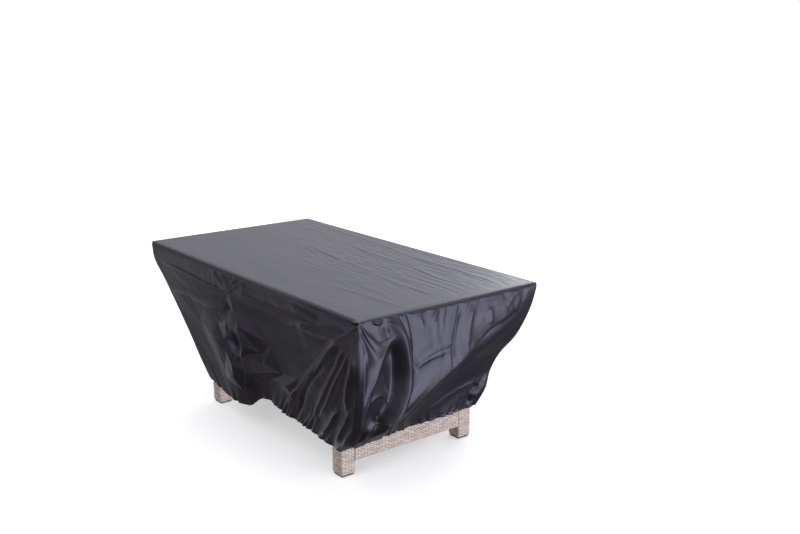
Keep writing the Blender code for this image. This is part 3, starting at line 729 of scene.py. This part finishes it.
def skirt_grid(name):
    """Return a panel's points[column, row], without its last column."""
    panel = SKIRTS[name]
    columns = shares(panel.columns, panel_length(panel))[:-1]
    along, down = np.meshgrid(columns, row_shares(), indexing="ij")
    points = skirt_base(panel, along.ravel(), down.ravel()).reshape(*along.shape, 3)
    height = panel_heights(name, along, down) - groove_depth(name, along, down)
    points[..., :2] += height[..., None] * np.array(panel.outward)
    if name == "front":
        points[..., 2] -= edge_sink(along) * np.clip(1.0 - down / EDGE_SINK_DROP, 0.0, 1.0) ** 2
    return points


def round_corners(loop):
    """Turn the skirts' sewn corners in a small round below the seam."""
    corners = np.cumsum([0] + [panel.columns for panel in SKIRTS.values()])[:-1]
    step = np.linalg.norm(np.roll(loop, -1, axis=0) - loop, axis=2).mean(axis=1)
    gone = np.concatenate([[0.0], np.cumsum(step)])
    away = np.full(len(loop), np.inf)
    for corner in corners:
        gap = np.abs(gone[:-1] - gone[corner])
        away = np.minimum(away, np.minimum(gap, gone[-1] - gap))
    weight = bell(away, CORNER_ROUND)[:, None] * ease(row_shares() / CORNER_ROUND_START)
    for _ in range(CORNER_ROUND_PASSES):
        middle = (np.roll(loop, 1, axis=0) + np.roll(loop, -1, axis=0)) / 2
        loop = loop + weight[..., None] * CORNER_ROUND_STEP * (middle - loop)
    return loop


def turn_hem(loop, normals):
    """Add the hem's turned edge below the skirt's last row."""
    inward = -normals[:, -1] * (1.0, 1.0, 0.0)
    inward /= np.linalg.norm(inward, axis=1, keepdims=True)
    rows = [loop[:, -1] + inward * far + (0.0, 0.0, up) for far, up in HEM_CURL]
    return np.concatenate([loop, np.stack(rows, axis=1)], axis=1)


# ---------------- pieces
def loop_normals(points):
    """Return the outward normals of a grid that closes on itself along its columns."""
    across = np.roll(points, -1, axis=0) - np.roll(points, 1, axis=0)
    downward = np.gradient(points, axis=1)
    normals = np.cross(downward, across)
    return normals / np.linalg.norm(normals, axis=2, keepdims=True)


def new_object(name, data):
    """Put a new object with this data in the scene."""
    made = bpy.data.objects.new(name, data)
    bpy.context.scene.collection.objects.link(made)
    return made


def new_piece(name, node, points, faces, flat, look):
    """A smooth piece that stands for a node, with a flat place in metres for each face corner."""
    mesh = bpy.data.meshes.new(name)
    mesh.from_pydata(points.reshape(-1, 3).tolist(), [], faces)
    mesh.uv_layers.new(name="flat_metres").data.foreach_set("uv", flat.ravel())
    mesh.shade_smooth()
    mesh.materials.append(look)
    piece = new_object(name, mesh)
    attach(piece, "root")
    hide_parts(node)
    return piece


def cloth_piece(name, node, points, look, flat_size):
    """A cloth panel from points[column, row], seen from outside with columns to the right."""
    columns, rows = points.shape[:2]
    index = np.arange(columns * rows).reshape(columns, rows)
    a, b = index[:-1, :-1].ravel(), index[1:, :-1].ravel()
    c, d = index[1:, 1:].ravel(), index[:-1, 1:].ravel()
    faces = np.column_stack([a, d, c, b])
    across, up = np.linspace(0, flat_size[0], columns), np.linspace(0, flat_size[1], rows)
    flat = np.stack(np.meshgrid(across, up, indexing="ij"), axis=2).reshape(-1, 2)
    return new_piece(name, node, points, faces.tolist(), flat[faces.ravel()], look)


def make_skirts(look):
    """The four skirt panels, with one surface running round their corners."""
    loop = round_corners(np.vstack([skirt_grid(name) for name in SKIRTS]))
    loop = turn_hem(loop, loop_normals(loop))
    normals = loop_normals(loop)
    start = 0
    for name, panel in SKIRTS.items():
        columns = np.arange(start, start + panel.columns + 1) % len(loop)
        flat = (panel_length(panel), SKIRT_DROP)
        piece = cloth_piece("cover_skirt_" + name, "skirt_" + name, loop[columns], look, flat)
        shading = normals[columns].reshape(-1, 3)
        piece.data.normals_split_custom_set_from_vertices(shading.tolist())
        start += panel.columns


def make_top(look):
    """The top panel on the slab."""
    size = np.array((COVER_LENGTH, COVER_WIDTH))
    columns = shares(TOP_COLUMNS, COVER_LENGTH)
    rows = shares(SKIRTS["right"].columns, COVER_WIDTH)
    column, row = np.meshgrid(columns, rows, indexing="ij")
    flat = np.column_stack([column.ravel(), row.ravel()]) * size
    height = fold_and_crinkle_heights("top", flat, size).reshape(column.shape)
    x = (column - 0.5) * COVER_LENGTH - column * RIGHT_BOW * seam_bow(row)
    y = (0.5 - row) * COVER_WIDTH
    from_side = np.minimum(column, 1 - column) * COVER_LENGTH
    from_front = (1 - row) * COVER_WIDTH
    edge = np.minimum(from_side, np.minimum(row * COVER_WIDTH, from_front))
    z = COVER_TOP_Z + height * ease(edge / TOP_EDGE_FADE)
    z -= SEAM_DIP * np.where(edge > 0, bell(edge, SEAM_DIP_WIDTH), 0.0)
    z -= edge_sink(column) * np.clip(1.0 - from_front / EDGE_SINK_WIDTH, 0.0, 1.0) ** 2
    piece = cloth_piece("cover_top", "top_panel", np.stack([x, y, z], axis=2), look, size)


# ---------------- wicker
def rounded_ring(half, stations):
    """Points and outward directions round a rounded rectangle, at shares of its length."""
    arc = np.linspace(0.0, math.pi / 2, WICKER_EDGE_POINTS)
    centre = half - WICKER_EDGE_RADIUS
    points, outward = [], []
    for quarter, sign in enumerate(((1, 1), (-1, 1), (-1, -1), (1, -1))):
        turn = arc + quarter * math.pi / 2
        way = np.column_stack([np.cos(turn), np.sin(turn)])
        points.append(centre * sign + WICKER_EDGE_RADIUS * way)
        outward.append(way)
    closed = np.vstack(points + [points[0][:1]])
    closed_way = np.vstack(outward + [outward[0][:1]])
    gone = np.concatenate([[0.0], np.cumsum(np.linalg.norm(np.diff(closed, axis=0), axis=1))])
    at = stations * gone[-1]
    ring = np.column_stack([np.interp(at, gone, line) for line in closed.T])
    way = np.column_stack([np.interp(at, gone, line) for line in closed_way.T])
    return ring, way / np.linalg.norm(way, axis=1, keepdims=True), gone[-1]


def weave_relief(strand_place, stake_place):
    """Return the weave's height from 0 to 1, for places counted in strands and in stakes."""
    row = np.floor(strand_place)
    over = 0.5 + 0.5 * np.cos(math.pi * (stake_place + row))
    strand = np.sqrt(np.sin(math.pi * (strand_place - row)))
    strand = strand * (1.0 - STRAND_DIP + STRAND_DIP * over)
    from_stake = np.abs(stake_place - np.round(stake_place)) * STAKE_PITCH / STAKE_WIDTH * 2.0
    stake = STAKE_HEIGHT * np.sqrt(np.clip(1.0 - from_stake**2, 0.0, 1.0)) * (over < 0.5)
    return np.maximum(strand, stake)


def counted(whole, cells):
    """Return places counted from 0 to a whole number, with these cells in each step."""
    return np.append((np.arange(whole)[:, None] + np.array(cells)).ravel(), float(whole))


def woven_tube(node, look):
    """A rounded post that replaces a node: its strands run round a leg and along a rail."""
    low, high = (np.array(corner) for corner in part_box(node))
    axis = int(np.argmax(high - low))
    u, v = (axis + 1) % 3, (axis + 2) % 3
    middle, half = (low + high) / 2, ((high - low) / 2)[[u, v]]
    upright = axis == 2
    top = WOVEN_LEG_TOP if upright else high[axis]
    weave = ((STAKE_PITCH, STAKE_CELLS), (STRAND_WIDTH, STRAND_CELLS))
    (round_pitch, round_cells), (long_pitch, long_cells) = weave if upright else weave[::-1]
    _, _, girth = rounded_ring(half, np.zeros(1))
    round_count = 2 * round(girth / round_pitch / 2)
    long_count = round((top - low[axis]) / long_pitch)
    round_places = counted(round_count, round_cells)
    ring, way, _ = rounded_ring(half, round_places / round_count)
    grids = np.meshgrid(round_places, counted(long_count, long_cells), indexing="ij")
    stake_grid, strand_grid = grids if upright else grids[::-1]
    flat = np.stack([(stake_grid + 1.0) * STAKE_PITCH, strand_grid * STRAND_WIDTH], axis=2)
    sunk = (weave_relief(strand_grid, stake_grid) - 1.0) * WICKER_RELIEF
    points = np.zeros(sunk.shape + (3,))
    points[..., [u, v]] = middle[[u, v]] + ring[:, None] + way[:, None] * sunk[..., None]
    points[..., axis] = low[axis] + grids[1] / long_count * (top - low[axis])
    if top < high[axis]:
        above = points[:, -1:].copy()
        above[..., axis] = high[axis]
        points = np.concatenate([points, above], axis=1)
        flat = np.concatenate([flat, flat[:, -1:]], axis=1)
    columns, rows = points.shape[0] - 1, points.shape[1]
    index = np.arange(columns * rows).reshape(columns, rows)
    after = np.roll(index, -1, axis=0)
    sides = np.stack([index[:, :-1], after[:, :-1], after[:, 1:], index[:, 1:]], axis=2)
    faces = sides.reshape(-1, 4).tolist() + [index[::-1, 0].tolist(), index[:, -1].tolist()]
    corners = np.stack([flat[:-1, :-1], flat[1:, :-1], flat[1:, 1:], flat[:-1, 1:]], axis=2)
    corners = np.concatenate([corners.ravel(), np.zeros(4 * columns)])
    piece = new_piece("woven_" + node, node, points[:-1], faces, corners, look)
    for end_cap in piece.data.polygons[-2:]:
        end_cap.use_smooth = False


def make_table(look):
    """The woven legs and rails, and the looks of the table's plain parts."""
    for node in ("leg_a", "leg_b", "leg_c", "leg_d", "end_rail_left", "end_rail_right"):
        woven_tube(node, look)
    apron = wicker_weave("wicker_apron", "Object", APRON_STREAKS)
    plain = {"glide": foot_plastic(), "table": board_look(), "end": apron, "long": apron}
    for node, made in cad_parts.items():
        kind = node.split("_")[0]
        if kind in plain and "rail" not in node:
            for slot in made.material_slots:
                slot.material = plain[kind]


# ---------------- materials
def set_sockets(node, values):
    """Set a node's input sockets by their names."""
    for socket, value in values.items():
        node.inputs[socket].default_value = value


def add_node(tree, kind, values=None):
    """Add a shader node with these values on its sockets."""
    made = tree.nodes.new("ShaderNode" + kind)
    set_sockets(made, values or {})
    return made


def new_look(name, values):
    """Return a new material and its node tree, with these values on its Principled shader."""
    made = bpy.data.materials.new(name)
    made.use_nodes = True
    set_sockets(made.node_tree.nodes["Principled BSDF"], values)
    return made, made.node_tree


def finish_look(tree, color, normal):
    """Lead a colour and a normal to the Principled shader."""
    shader = tree.nodes["Principled BSDF"]
    tree.links.new(color, shader.inputs["Base Color"])
    tree.links.new(normal, shader.inputs["Normal"])


def noise(tree, place, scale, detail, kind="FBM"):
    """Return the value of a noise texture."""
    made = add_node(tree, "TexNoise", {"Scale": scale, "Detail": detail})
    made.noise_type = kind
    tree.links.new(place, made.inputs["Vector"])
    return made.outputs["Fac"]


def stretched(tree, place, scale):
    """Return a place whose axes are scaled by these factors."""
    made = add_node(tree, "Mapping", {"Scale": scale})
    tree.links.new(place, made.inputs["Vector"])
    return made.outputs["Vector"]


def ramp(tree, value, stops):
    """Return the colour of a ramp through these stops: each a position and a colour."""
    made = add_node(tree, "ValToRGB")
    elements = made.color_ramp.elements
    while len(elements) < len(stops):
        elements.new(0.5)
    for element, (position, color) in zip(elements, stops):
        element.position = position
        element.color = (*color, 1)
    tree.links.new(value, made.inputs["Fac"])
    return made.outputs["Color"]


def bump(tree, height, strength, distance, normal=None):
    """Return the normal of a surface with this relief."""
    made = add_node(tree, "Bump", {"Strength": strength, "Distance": distance})
    tree.links.new(height, made.inputs["Height"])
    if normal is not None:
        tree.links.new(normal, made.inputs["Normal"])
    return made.outputs["Normal"]


def mixed(tree, kind, factor, a, b):
    """Return the mix of two colours; b is a socket or a plain colour."""
    mix = add_node(tree, "Mix")
    mix.data_type = "RGBA"
    mix.blend_type = kind
    for socket, source in (("Factor", factor), ("A", a), ("B", b)):
        if isinstance(source, bpy.types.NodeSocket):
            tree.links.new(source, mix.inputs[socket])
        else:
            mix.inputs[socket].default_value = source
    return mix.outputs["Result"]


def cover_cloth():
    """Dark coated polyester with a fine plain weave and a satin shine."""
    values = {
        "Roughness": 0.36,
        "Specular IOR Level": 0.5,
        "Specular Tint": (0.82, 0.83, 1.0, 1),
        "Sheen Weight": 0.02,
        "Sheen Roughness": 0.45,
        "Sheen Tint": (0.55, 0.57, 1.0, 1),
    }
    made, tree = new_look("cover_cloth", values)
    place = add_node(tree, "TexCoord").outputs
    tone = noise(tree, place["Object"], 6.0, 5.0)
    stops = ((0.35, (0.01, 0.0082, 0.01)), (0.65, (0.015, 0.0125, 0.0152)))
    yarns = []
    for direction in ("X", "Y"):
        yarn = add_node(tree, "TexWave", {"Scale": math.pi / 10.0 / YARN_PITCH})
        yarn.bands_direction = direction
        tree.links.new(place["UV"], yarn.inputs["Vector"])
        yarns.append(yarn.outputs["Fac"])
    crossing = add_node(tree, "Math")
    crossing.operation = "MULTIPLY"
    for yarn, socket in zip(yarns, crossing.inputs):
        tree.links.new(yarn, socket)
    crush = bump(tree, noise(tree, place["Object"], 26.0, 3.0, "RIDGED_MULTIFRACTAL"), 0.5, 0.0012)
    weave = bump(tree, crossing.outputs["Value"], 0.4, 0.00006, crush)
    finish_look(tree, ramp(tree, tone, stops), weave)
    return made


def wicker_weave(name, place_output, streak_scale):
    """Beige-grey woven strands: a tone for each pass of a strand, painted shade in the gaps between
    strands, and fine streaks.
    """
    made, tree = new_look(name, {"Roughness": 0.55})
    place = add_node(tree, "TexCoord").outputs[place_output]
    values = {
        "Color1": (0.505, 0.43, 0.358, 1),
        "Color2": (0.3, 0.238, 0.186, 1),
        # The dark mortar is painted shade in the gaps between the strands.
        "Mortar": (0.1, 0.072, 0.052, 1),
        "Scale": 1.0,
        "Mortar Size": 0.0011,
        "Mortar Smooth": 0.4,
        "Bias": -0.25,
        "Brick Width": 2.0 * STAKE_PITCH,
        "Row Height": STRAND_WIDTH,
    }
    strands = add_node(tree, "TexBrick", values)
    strands.offset = 0.5
    tree.links.new(place, strands.inputs["Vector"])
    streaks = noise(tree, stretched(tree, place, streak_scale), 1.0, 4.0)
    tone = ramp(tree, streaks, ((0.35, (0.8, 0.77, 0.75)), (0.62, (1.0, 1.0, 1.0))))
    color = mixed(tree, "MULTIPLY", 1.0, strands.outputs["Color"], tone)
    finish_look(tree, color, bump(tree, streaks, 0.35, 0.0006))
    return made


def board_look():
    """Grey board with a faint grain along the table."""
    made, tree = new_look("table_board", {"Roughness": 0.6})
    place = add_node(tree, "TexCoord").outputs["Object"]
    grain = noise(tree, stretched(tree, place, (2.0, 30.0, 30.0)), 5.0, 6.0)
    color = ramp(tree, grain, ((0.0, (0.24, 0.23, 0.22)), (1.0, (0.36, 0.35, 0.33))))
    finish_look(tree, color, bump(tree, grain, 0.2, 0.001))
    return made


def foot_plastic():
    """Black moulded plastic with a fine grain."""
    made, tree = new_look("foot_plastic", {"Roughness": 0.45})
    grain = noise(tree, add_node(tree, "TexCoord").outputs["Object"], 900.0, 2.0)
    color = ramp(tree, grain, ((0.0, (0.01, 0.01, 0.01)), (1.0, (0.026, 0.026, 0.027))))
    finish_look(tree, color, bump(tree, grain, 0.25, 0.0002))
    return made


def floor_paint():
    """Plain pale floor."""
    values = {
        "Base Color": (0.9, 0.9, 0.9, 1),
        "Roughness": 0.9,
        "Specular IOR Level": 0.1,
        "Emission Color": (1, 1, 1, 1),
        "Emission Strength": 0.4,
    }
    return new_look("floor", values)[0]


# ---------------- scene
def make_camera():
    """The camera at the photograph's place."""
    lens = bpy.data.cameras.new("camera")
    lens.sensor_width = SENSOR_MM
    lens.lens = FOCAL_PX / PHOTO_WIDTH_PX * SENSOR_MM
    made = new_object("camera", lens)
    heading = Matrix.Rotation(-CAMERA_YAW, 4, "Z")
    tilt = Matrix.Rotation(math.pi / 2 - CAMERA_PITCH, 4, "X") @ Matrix.Rotation(CAMERA_ROLL, 4, "Z")
    made.matrix_world = Matrix.Translation(CAMERA_PLACE) @ heading @ tilt
    bpy.context.scene.camera = made


def make_light(row):
    """A square soft light that faces a point, seen in glossy cloth or not."""
    light = bpy.data.lights.new(row.name, "AREA")
    light.size = row.size
    light.energy = row.power
    light.color = row.color
    made = new_object(row.name, light)
    made.location = row.place
    towards = Vector(row.aim) - Vector(row.place)
    made.rotation_euler = towards.to_track_quat("-Z", "Y").to_euler()
    made.visible_camera = False
    made.visible_glossy = row.glossy


def make_room():
    """A pale room, darker towards the ground, with soft glows, behind a white backdrop."""
    world = bpy.data.worlds.new("studio")
    bpy.context.scene.world = world
    world.use_nodes = True
    tree = world.node_tree
    towards = add_node(tree, "TexCoord").outputs["Generated"]
    split = add_node(tree, "SeparateXYZ")
    tree.links.new(towards, split.inputs["Vector"])

    def between(value, low, high, smooth=False):
        span = add_node(tree, "MapRange", {"From Min": low, "From Max": high})
        if smooth:
            span.interpolation_type = "SMOOTHSTEP"
        tree.links.new(value, span.inputs["Value"])
        return span.outputs["Result"]

    height = between(split.outputs["Z"], -1.0, 1.0)
    sides, front = (
        ramp(tree, height, [(at, [level * tint for tint in ROOM_TINT]) for at, level in levels])
        for levels in (SIDE_LEVELS, FRONT_LEVELS)
    )
    room = mixed(tree, "MIX", between(split.outputs["Y"], *FRONT_BLEND), sides, front)
    for glow in GLOWS:
        facing = add_node(tree, "VectorMath")
        facing.operation = "DOT_PRODUCT"
        facing.inputs[1].default_value = Vector(glow.towards).normalized()
        tree.links.new(towards, facing.inputs[0])
        rim = math.cos(math.radians(glow.spread))
        inside = between(facing.outputs["Value"], rim, 1.0, smooth=True)
        room = mixed(tree, "ADD", inside, room, glow.color)
    rays = add_node(tree, "LightPath")
    seen = mixed(tree, "MIX", rays.outputs["Is Camera Ray"], room, BACKDROP)
    tree.links.new(seen, tree.nodes["Background"].inputs["Color"])


def make_studio():
    """The pale floor, the soft lights and the room."""
    bpy.ops.mesh.primitive_circle_add(vertices=64, radius=FLOOR_RADIUS, fill_type="NGON")
    floor = bpy.context.object
    floor.name = "floor"
    floor.data.materials.append(floor_paint())
    floor.visible_glossy = False
    floor.visible_diffuse = False
    make_room()
    for row in LIGHTS:
        make_light(row)
    bpy.context.scene.view_settings.view_transform = "Standard"


make_camera()
make_studio()
CLOTH_LOOK = cover_cloth()
make_skirts(CLOTH_LOOK)
make_top(CLOTH_LOOK)
make_table(wicker_weave("wicker", "UV", STRAND_STREAKS))
